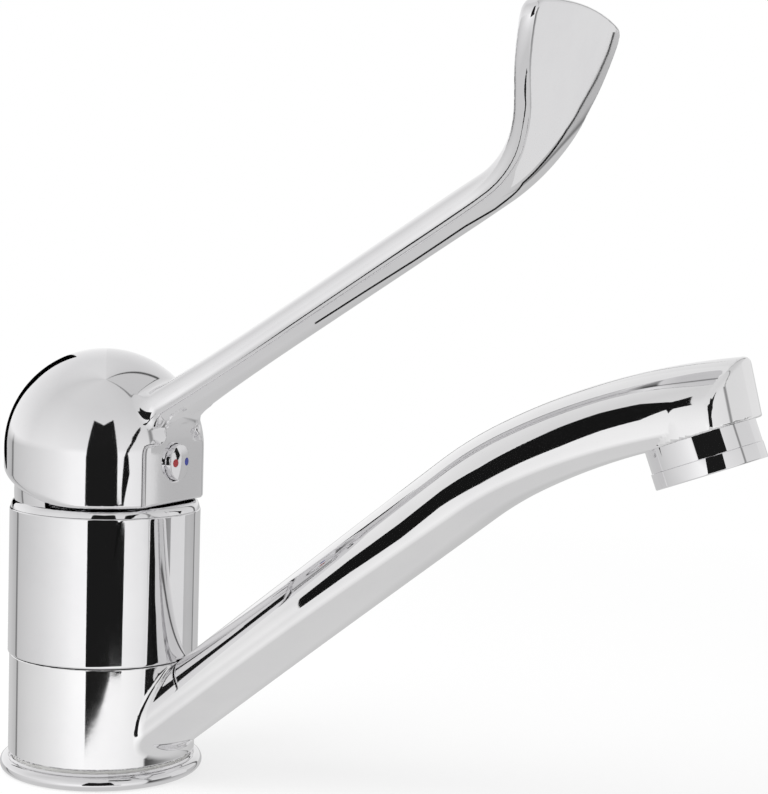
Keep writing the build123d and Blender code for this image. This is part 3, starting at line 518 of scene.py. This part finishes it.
def buttonPieces(v):
    axis = Matrix.Translation(Vector((v["x"], 0, v["z"])) * mm) @ Matrix.Rotation(math.pi / 2, 4, "Y")
    rim = v["height"] - v["dome"]
    crown = (v["radius"] ** 2 + v["dome"] ** 2) / (2 * v["dome"])
    outline = [(v["center"], v["root"]), (v["radius"], v["root"]), (v["radius"], rim - v["edge"] * 0.5)]
    outline += [(v["radius"] - v["edge"] * share, rim + rise) for share, rise in v["bevel"]]
    for k in range(v["crownRows"], -1, -1):
        r = (v["radius"] - v["edge"] * v["crownInset"]) * k / v["crownRows"]
        outline.append((max(r, v["center"]), v["height"] - crown + math.sqrt(crown ** 2 - r * r)))
    face = turnedMesh("indexButton", outline, place=axis, segments=128, sharp=45)
    dots = []
    for name, side in (("redDot", -1), ("blueDot", 1)):
        seat = v["height"] - crown + math.sqrt(crown ** 2 - v["spread"] ** 2)
        tilt = math.asin(v["spread"] / crown)
        spot = axis @ Matrix.Translation(Vector((0, side * v["spread"], seat)) * mm)
        spot = spot @ Matrix.Rotation(-side * tilt, 4, "X")
        dome = [(v["center"], v["dotRows"][0][1])]
        dome += [(v["dot"] * share, rise) for share, rise in v["dotRows"]] + [(v["center"], v["dotTop"])]
        dots.append(turnedMesh(name, dome, place=spot, segments=48, sharp=60))
    return face, dots


buttonFace, dotPieces = buttonPieces(button)
for piece, node, finish in ((buttonFace, "index_button", "chrome"), (dotPieces[0], "red_dot", "red_enamel"),
                            (dotPieces[1], "blue_dot", "blue_enamel")):
    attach(piece, "lever")
    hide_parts(node)

aerator = {
    "radius": 13.0, "height": 9.0, "band": 3.8, "flat": 12.58, "flats": 4, "flatTurn": -67.0, "bore": 10.6,
    "lip": 0.8, "edge": 0.3, "groove": 0.15, "inset": 0.02, "holdLow": 0.2, "holdHigh": 0.3,
}


def aeratorRing(v):
    e = v["edge"]
    step = v["band"]
    outline = [(v["bore"] - v["lip"], 0.0)] + arcPoints((v["radius"] - e, e), e, -90, 0, 6)
    outline += [(v["radius"], step - v["groove"]), (v["radius"] - v["groove"], step)]
    upper = v["height"] - v["inset"]
    flatHeights = (step + v["inset"], step + v["holdLow"], v["height"] - v["holdHigh"], upper)
    flatRows = range(len(outline), len(outline) + len(flatHeights))
    outline += [(v["radius"] - v["inset"], z) for z in flatHeights]
    outline += [(v["bore"], upper), (v["bore"], v["lip"]), (v["bore"] - v["lip"], v["lip"])]
    turn = math.radians(v["flatTurn"])
    share = 2 * math.pi / v["flats"]

    def reachAt(row, r, angle):
        if row not in flatRows:
            return r
        local = (angle - turn + share / 2) % share - share / 2
        return min(r, v["flat"] / math.cos(local))

    tilt = math.radians(spout["tilt"])
    up = Vector((-math.sin(tilt), 0, math.cos(tilt)))
    across = Vector((0, 1, 0))
    third = up.cross(across)
    turnBack = Matrix((across, third, up)).transposed().to_4x4()
    place = Matrix.Translation(Vector((spout["mouth"][0], 0, spout["mouth"][1])) * mm) @ turnBack
    return turnedMesh("aeratorRing", outline, place=place, segments=360, sharp=22, radiusAt=reachAt)


ringPiece = aeratorRing(aerator)
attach(ringPiece, "spout")
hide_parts("aerator_housing")
print("small pieces built")


# materials
wearDetail = {
    "filmDetail": 5.0, "filmRoughness": 0.6, "filmRange": (0.42, 0.72), "fineDetail": 3.0,
    "depth": 0.0005,  # bump distance in m
}


def wearGroup(v):  # polish marks, wiped film and pits for all hard finishes
    g = bpy.data.node_groups.new("surfaceWear", "ShaderNodeTree")
    for name, kind, default in (("Fine Scale", "NodeSocketFloat", 900.0),
                                ("Film Scale", "NodeSocketFloat", 35.0),
                                ("Low Roughness", "NodeSocketFloat", 0.03),
                                ("High Roughness", "NodeSocketFloat", 0.08),
                                ("Clean Tint", "NodeSocketColor", (0.9, 0.9, 0.9, 1)),
                                ("Film Tint", "NodeSocketColor", (0.85, 0.85, 0.85, 1))):
        s = g.interface.new_socket(name=name, in_out="INPUT", socket_type=kind)
        s.default_value = default
    g.interface.new_socket(name="Tint", in_out="OUTPUT", socket_type="NodeSocketColor")
    g.interface.new_socket(name="Roughness", in_out="OUTPUT", socket_type="NodeSocketFloat")
    g.interface.new_socket(name="Height", in_out="OUTPUT", socket_type="NodeSocketFloat")
    n, l = g.nodes, g.links
    inp, out = n.new("NodeGroupInput"), n.new("NodeGroupOutput")
    where = n.new("ShaderNodeTexCoord")
    film = n.new("ShaderNodeTexNoise")
    film.inputs["Detail"].default_value = v["filmDetail"]
    film.inputs["Roughness"].default_value = v["filmRoughness"]
    fine = n.new("ShaderNodeTexNoise")
    fine.inputs["Detail"].default_value = v["fineDetail"]
    ramp = n.new("ShaderNodeMapRange")
    ramp.inputs["From Min"].default_value = v["filmRange"][0]
    ramp.inputs["From Max"].default_value = v["filmRange"][1]
    rough = n.new("ShaderNodeMix")
    rough.data_type = "FLOAT"
    tint = n.new("ShaderNodeMix")
    tint.data_type = "RGBA"
    l.new(where.outputs["Object"], film.inputs["Vector"])
    l.new(where.outputs["Object"], fine.inputs["Vector"])
    l.new(inp.outputs["Film Scale"], film.inputs["Scale"])
    l.new(inp.outputs["Fine Scale"], fine.inputs["Scale"])
    l.new(film.outputs["Fac"], ramp.inputs["Value"])
    l.new(ramp.outputs["Result"], rough.inputs["Factor"])
    l.new(inp.outputs["Low Roughness"], rough.inputs["A"])
    l.new(inp.outputs["High Roughness"], rough.inputs["B"])
    l.new(ramp.outputs["Result"], tint.inputs["Factor"])
    l.new(inp.outputs["Clean Tint"], tint.inputs["A"])
    l.new(inp.outputs["Film Tint"], tint.inputs["B"])
    l.new(tint.outputs["Result"], out.inputs["Tint"])
    l.new(rough.outputs["Result"], out.inputs["Roughness"])
    l.new(fine.outputs["Fac"], out.inputs["Height"])
    return g


surfaceWear = wearGroup(wearDetail)

finishes = {
    "chrome": {"tint": (0.86, 0.855, 0.865), "film": (0.80, 0.795, 0.81), "metal": 1.0,
               "rough": (0.025, 0.07), "scales": (420.0, 30.0), "bump": 0.004},
    "leverChrome": {"tint": (0.86, 0.855, 0.865), "film": (0.81, 0.805, 0.82), "metal": 1.0,
                    "rough": (0.04, 0.07), "scales": (420.0, 30.0), "bump": 0.004},
    # brighter copy of the chrome for the spout: its raised tint is painted brightness on the spout's
    # reflections
    "spoutChromePaintedBright": {"tint": (0.92, 0.915, 0.92), "film": (0.87, 0.865, 0.875), "metal": 1.0,
                    "rough": (0.035, 0.065), "scales": (420.0, 30.0), "bump": 0.004},
    "seal_rubber": {"tint": (0.03, 0.03, 0.032), "film": (0.06, 0.06, 0.06), "metal": 0.0,
                    "rough": (0.55, 0.75), "scales": (1500.0, 120.0), "bump": 0.12},
    "white_plastic": {"tint": (0.84, 0.84, 0.82), "film": (0.76, 0.76, 0.73), "metal": 0.0,
                      "rough": (0.3, 0.5), "scales": (1800.0, 90.0), "bump": 0.05},
    "cartridge_plastic": {"tint": (0.3, 0.32, 0.34), "film": (0.24, 0.26, 0.28), "metal": 0.0,
                          "rough": (0.32, 0.5), "scales": (1600.0, 90.0), "bump": 0.06},
    "ceramic": {"tint": (0.9, 0.89, 0.86), "film": (0.84, 0.83, 0.8), "metal": 0.0, "rough": (0.08, 0.2),
                "scales": (2000.0, 60.0), "bump": 0.02},
    "brass": {"tint": (0.78, 0.58, 0.28), "film": (0.62, 0.45, 0.22), "metal": 1.0, "rough": (0.18, 0.4),
              "scales": (900.0, 60.0), "bump": 0.04},
    "steel": {"tint": (0.6, 0.6, 0.61), "film": (0.5, 0.5, 0.5), "metal": 1.0, "rough": (0.22, 0.4),
              "scales": (1200.0, 70.0), "bump": 0.04},
    "red_enamel": {"tint": (0.42, 0.015, 0.02), "film": (0.33, 0.012, 0.02), "metal": 0.0,
                   "rough": (0.12, 0.25), "scales": (2500.0, 500.0), "bump": 0.03},
    "blue_enamel": {"tint": (0.02, 0.035, 0.36), "film": (0.015, 0.03, 0.27), "metal": 0.0,
                    "rough": (0.12, 0.25), "scales": (2500.0, 500.0), "bump": 0.03},
}


def finishMaterial(name, v):
    m = bpy.data.materials.new(name)
    m.use_nodes = True
    n, l = m.node_tree.nodes, m.node_tree.links
    shader = n["Principled BSDF"]
    wear = n.new("ShaderNodeGroup")
    wear.node_tree = surfaceWear
    wear.inputs["Fine Scale"].default_value = v["scales"][0]
    wear.inputs["Film Scale"].default_value = v["scales"][1]
    wear.inputs["Low Roughness"].default_value = v["rough"][0]
    wear.inputs["High Roughness"].default_value = v["rough"][1]
    wear.inputs["Clean Tint"].default_value = v["tint"] + (1,)
    wear.inputs["Film Tint"].default_value = v["film"] + (1,)
    bump = n.new("ShaderNodeBump")
    bump.inputs["Strength"].default_value = v["bump"]
    bump.inputs["Distance"].default_value = wearDetail["depth"]
    shader.inputs["Metallic"].default_value = v["metal"]
    l.new(wear.outputs["Tint"], shader.inputs["Base Color"])
    l.new(wear.outputs["Roughness"], shader.inputs["Roughness"])
    l.new(wear.outputs["Height"], bump.inputs["Height"])
    l.new(bump.outputs["Normal"], shader.inputs["Normal"])
    return m


materials = {name: finishMaterial(name + "Finish", v) for name, v in finishes.items()}
slotOf = {s["node"]: s["material_slot"] for s in frame["record"]["subparts"]}
for name, obj in nodes.items():
    obj.data.materials.clear()
    obj.data.materials.append(materials[slotOf[name]])
for obj in (skin, capRing, capApron, foot, buttonFace, ringPiece):
    obj.data.materials.append(materials["chrome"])
leverCasting.data.materials.append(materials["leverChrome"])
# the spout gets the brighter chrome copy, whose raised tint paints extra brightness on its reflections
spoutCasting.data.materials.append(materials["spoutChromePaintedBright"])
dotPieces[0].data.materials.append(materials["red_enamel"])
dotPieces[1].data.materials.append(materials["blue_enamel"])
print("materials set")


# studio: white room with dark flags, told by direction round the tap
studio = {
    "lookOut": (0.5736, -0.8191), "lookRight": (0.8191, 0.5736),
    # bearing from the camera's side in degrees (right is above 0), and the room's brightness there
    "low": ((-180, 0.62), (-150, 0.62), (-132, 0.52), (-130.5, 0.2), (-128, 0.2), (-126, 0.6), (-105, 0.68),
            (-79, 0.78), (-57, 0.9), (-37, 1.04), (-22, 1.08), (19, 1.0), (45, 0.9), (52, 0.82), (54.5, 0.08),
            (58, 0.08), (65, 0.13), (80, 0.31), (98, 0.49), (119, 0.56), (134, 0.52), (137, 0.1), (139, 0.6),
            (160, 0.55), (180, 0.62)),
    "side": ((-180, 1.0), (-150, 1.0), (-120, 0.95), (-95, 0.86), (-60, 0.92), (-20, 0.9), (20, 0.88),
             (52, 0.84), (54, 0.3), (57, 0.3), (59, 0.8), (134, 0.8), (136, 0.1), (139, 0.1), (141, 0.85),
             (180, 0.95)),
    # the walls' shade towards the ceiling, and the ground's start and end, in degrees of rise
    "sideTop": 0.80, "sideRise": 50.0, "wallStart": -2, "wallEnd": 3,
    "ground": 0.66, "groundStart": -18.0, "groundEnd": -42.0, "roomLight": 1.0,
}


def buildRoom(v):
    world = bpy.data.worlds.new("whiteRoom")
    bpy.context.scene.world = world
    world.use_nodes = True
    n, l = world.node_tree.nodes, world.node_tree.links
    n.clear()
    out = n.new("ShaderNodeOutputWorld")
    where = n.new("ShaderNodeTexCoord")

    def dot(vector):
        d = n.new("ShaderNodeVectorMath")
        d.operation = "DOT_PRODUCT"
        d.inputs[1].default_value = vector
        l.new(where.outputs["Generated"], d.inputs[0])
        return d.outputs["Value"]

    def maths(kind, a, b=None, c=None):
        m = n.new("ShaderNodeMath")
        m.operation = kind
        for k, value in enumerate((a, b, c)):
            if value is None:
                continue
            if isinstance(value, (int, float)):
                m.inputs[k].default_value = value
            else:
                l.new(value, m.inputs[k])
        return m.outputs[0]

    towards = dot((v["lookOut"][0], v["lookOut"][1], 0))
    right = dot((v["lookRight"][0], v["lookRight"][1], 0))
    high = dot((0, 0, 1))
    bearing = maths("ARCTAN2", right, towards)
    share = maths("MULTIPLY_ADD", bearing, 0.5 / math.pi, 0.5)

    def ringOf(flags):
        ramp = n.new("ShaderNodeValToRGB")
        stops = ramp.color_ramp.elements
        while len(stops) < len(flags):
            stops.new(0.5)
        for k, (angle, level) in enumerate(flags):
            stops[k].position = (angle + 180) / 360
            stops[k].color = (level, level, level, 1)
        l.new(share, ramp.inputs["Fac"])
        return ramp.outputs["Color"]

    def between(start, end):
        fade = n.new("ShaderNodeMapRange")
        fade.inputs["From Min"].default_value = math.sin(math.radians(start))
        fade.inputs["From Max"].default_value = math.sin(math.radians(end))
        l.new(high, fade.inputs["Value"])
        return fade.outputs["Result"]

    def mixed(factor, a, b):
        mix = n.new("ShaderNodeMix")
        mix.data_type = "RGBA"
        l.new(factor, mix.inputs["Factor"])
        for name, value in (("A", a), ("B", b)):
            if isinstance(value, float):
                mix.inputs[name].default_value = (value, value, value, 1)
            else:
                l.new(value, mix.inputs[name])
        return mix.outputs["Result"]

    shade = n.new("ShaderNodeMix")
    shade.data_type = "RGBA"
    shade.blend_type = "MULTIPLY"
    shade.inputs["B"].default_value = (v["sideTop"],) * 3 + (1,)
    l.new(between(0, v["sideRise"]), shade.inputs["Factor"])
    l.new(ringOf(v["side"]), shade.inputs["A"])
    walls = mixed(between(v["wallStart"], v["wallEnd"]), ringOf(v["low"]), shade.outputs["Result"])
    whole = mixed(between(v["groundStart"], v["groundEnd"]), walls, v["ground"])
    room = n.new("ShaderNodeBackground")
    room.inputs["Strength"].default_value = v["roomLight"]
    l.new(whole, room.inputs["Color"])
    white = n.new("ShaderNodeBackground")
    path = n.new("ShaderNodeLightPath")
    blend = n.new("ShaderNodeMixShader")
    l.new(path.outputs["Is Camera Ray"], blend.inputs["Fac"])
    l.new(room.outputs[0], blend.inputs[1])
    l.new(white.outputs[0], blend.inputs[2])
    white.inputs["Color"].default_value = (1, 1, 1, 1)
    l.new(blend.outputs[0], out.inputs["Surface"])


buildRoom(studio)

# cards round the tap, seen only by what is polished: corners in mm and brightness
cards = {
    "domeFlag": (((-53, 63, 81), (-124, 26, 65), (-115, 37, 141), (-78, 58, 168)), 0.0),
    "paddleCard": (((189, 245, -60), (321, 165, -60), (321, 165, 215), (189, 245, 215)), 0.80),
}
# dark flag behind the camera, told as seen from the column: bearing and rise in degrees
farFlag = ((-20.5, -15.6), (-21.2, -7.0), (-14.7, 36.0), (-1.8, 31.0), (11.0, 37.0), (14.7, -7.0),
           (22.8, -8.0), (22.0, -13.1), (9.0, -13.2), (-1.8, -14.4), (-14.0, -15.2))
farFlagAt = {"distance": 3000.0, "height": 40.0, "level": 0.012}
# black strip beside the spout: the two ends of each cross line, from the column to the nose
spoutStrip = (
    ((33.5, -33.3, 64.3), (41.0, -44.0, 52.9)),
    ((46.3, -30.6, 77.8), (56.3, -45.6, 62.5)),
    ((55.2, -39.0, 89.5), (68.3, -54.5, 69.5)),
    ((64.2, -35.0, 101.1), (77.5, -54.0, 80.8)),
    ((79.2, -41.5, 108.8), (90.9, -56.2, 85.3)),
    ((89.3, -35.2, 122.1), (101.3, -56.5, 93.3)),
    ((100.6, -31.6, 131.4), (111.9, -57.0, 99.4)),
    ((112.5, -30.2, 138.2), (121.8, -56.8, 107.1)),
    ((124.8, -32.4, 142.1), (132.2, -57.0, 112.2)),
    ((135.6, -39.1, 141.1), (138.1, -53.5, 123.6)),
    ((140.8, -35.6, 145.5), (144.1, -52.9, 127.7)),
)
# thin black strip behind the arm and the paddle, from the arm's middle to the paddle's top
armStrip = (
    ((61.2, 37.8, 78.3), (56.8, 44.0, 84.3)),
    ((73.7, 42.3, 90.9), (69.7, 47.3, 96.3)),
    ((84.9, 47.2, 104.4), (81.3, 51.2, 109.2)),
    ((100.1, 47.2, 112.7), (96.5, 51.3, 117.5)),
    ((104.4, 52.6, 123.7), (101.0, 55.8, 128.1)),
    ((128.2, 48.8, 127.1), (125.4, 51.7, 129.3)),
    ((134.4, 56.4, 144.6), (131.8, 58.5, 145.5)),
    ((139.6, 62.3, 160.6), (138.0, 64.0, 160.6)),
    ((141.0, 69.1, 172.1), (140.1, 70.7, 172.0)),
    ((142.2, 74.5, 178.9), (141.6, 76.1, 178.9)),
    ((143.9, 77.8, 186.1), (143.4, 79.3, 186.2)),
    ((145.4, 78.0, 191.3), (144.9, 79.5, 191.5)),
)
stripLevel = 0.008


def flagCorner(bearing, rise, v):
    side = v["distance"] * math.tan(math.radians(bearing))
    away = v["distance"] / math.cos(math.radians(bearing))
    flat = [v["distance"] * out + side * right for out, right in zip(studio["lookOut"], studio["lookRight"])]
    return tuple(c * mm for c in flat + [v["height"] + away * math.tan(math.radians(rise))])


def buildCards(values, strips):
    corners = [flagCorner(bearing, rise, farFlagAt) for bearing, rise in farFlag]
    addCard("cameraFlag", corners, [tuple(range(len(corners)))], farFlagAt["level"])
    for name, (corners, level) in values.items():
        points = [tuple(c * mm for c in corner) for corner in corners]
        addCard(name, points, [tuple(range(len(points)))], level)
    for name, strip in strips.items():
        ends = [tuple(c * mm for c in end) for row in strip for end in row]
        faces = [(2 * k, 2 * k + 1, 2 * k + 3, 2 * k + 2) for k in range(len(strip) - 1)]
        addCard(name, ends, faces, stripLevel)


def addCard(name, corners, faces, level):
    mesh = bpy.data.meshes.new(name)
    mesh.from_pydata(corners, [], faces)
    card = bpy.data.objects.new(name, mesh)
    bpy.context.scene.collection.objects.link(card)
    m = bpy.data.materials.new(name + "Glow")
    m.use_nodes = True
    m.node_tree.nodes.clear()
    glow = m.node_tree.nodes.new("ShaderNodeEmission")
    end = m.node_tree.nodes.new("ShaderNodeOutputMaterial")
    glow.inputs["Color"].default_value = (level, level, level, 1)
    m.node_tree.links.new(glow.outputs[0], end.inputs["Surface"])
    mesh.materials.append(m)
    card.visible_camera = card.visible_diffuse = card.visible_shadow = False


buildCards(cards, {"spoutFlag": spoutStrip, "armFlag": armStrip})

# white floor that keeps only a part of its shadows and fades to pure white, in m from the tap
floorValues = {"size": 12.0, "white": 0.93, "rough": 0.8, "shadowShare": 0.3, "fadeStart": 0.2, "fadeEnd": 0.5}


def buildFloor(v):
    mesh = bpy.data.meshes.new("studioFloor")
    e = v["size"]
    mesh.from_pydata([(-e, -e, 0), (e, -e, 0), (e, e, 0), (-e, e, 0)], [], [(0, 1, 2, 3)])
    floor = bpy.data.objects.new("studioFloor", mesh)
    bpy.context.scene.collection.objects.link(floor)
    m = bpy.data.materials.new("floorWhite")
    m.use_nodes = True
    n, l = m.node_tree.nodes, m.node_tree.links
    shader = n["Principled BSDF"]
    shader.inputs["Base Color"].default_value = (v["white"],) * 3 + (1,)
    shader.inputs["Roughness"].default_value = v["rough"]
    glow = n.new("ShaderNodeEmission")
    glow.inputs["Color"].default_value = (1, 1, 1, 1)
    path = n.new("ShaderNodeLightPath")
    where = n.new("ShaderNodeTexCoord")
    far = n.new("ShaderNodeVectorMath")
    far.operation = "LENGTH"
    fade = n.new("ShaderNodeMapRange")
    fade.inputs["From Min"].default_value = v["fadeStart"]
    fade.inputs["From Max"].default_value = v["fadeEnd"]
    fade.inputs["To Min"].default_value = 1 - v["shadowShare"]
    part = n.new("ShaderNodeMath")
    part.operation = "MULTIPLY"
    l.new(where.outputs["Object"], far.inputs[0])
    l.new(far.outputs["Value"], fade.inputs["Value"])
    l.new(fade.outputs["Result"], part.inputs[1])
    l.new(path.outputs["Is Camera Ray"], part.inputs[0])
    mix = n.new("ShaderNodeMixShader")
    l.new(part.outputs[0], mix.inputs["Fac"])
    l.new(shader.outputs[0], mix.inputs[1])
    l.new(glow.outputs[0], mix.inputs[2])
    l.new(mix.outputs[0], n["Material Output"].inputs["Surface"])
    mesh.materials.append(m)
    floor.visible_glossy = False  # the metal sees the room's flags down to the tap's foot


buildFloor(floorValues)

softLamp = {"place": (-0.35, -0.55, 0.95), "aim": (0.05, 0, 0.08), "size": 0.9, "power": 9.0}


def softLight(v):
    data = bpy.data.lights.new("softBox", "AREA")
    data.shape = "SQUARE"
    data.size = v["size"]
    data.energy = v["power"]
    lamp = bpy.data.objects.new("softBox", data)
    bpy.context.scene.collection.objects.link(lamp)
    lamp.location = v["place"]
    lamp.rotation_euler = (Vector(v["aim"]) - Vector(v["place"])).to_track_quat("-Z", "Y").to_euler()
    lamp.visible_glossy = False


softLight(softLamp)
bpy.context.scene.view_settings.view_transform = "Standard"
print("studio built")
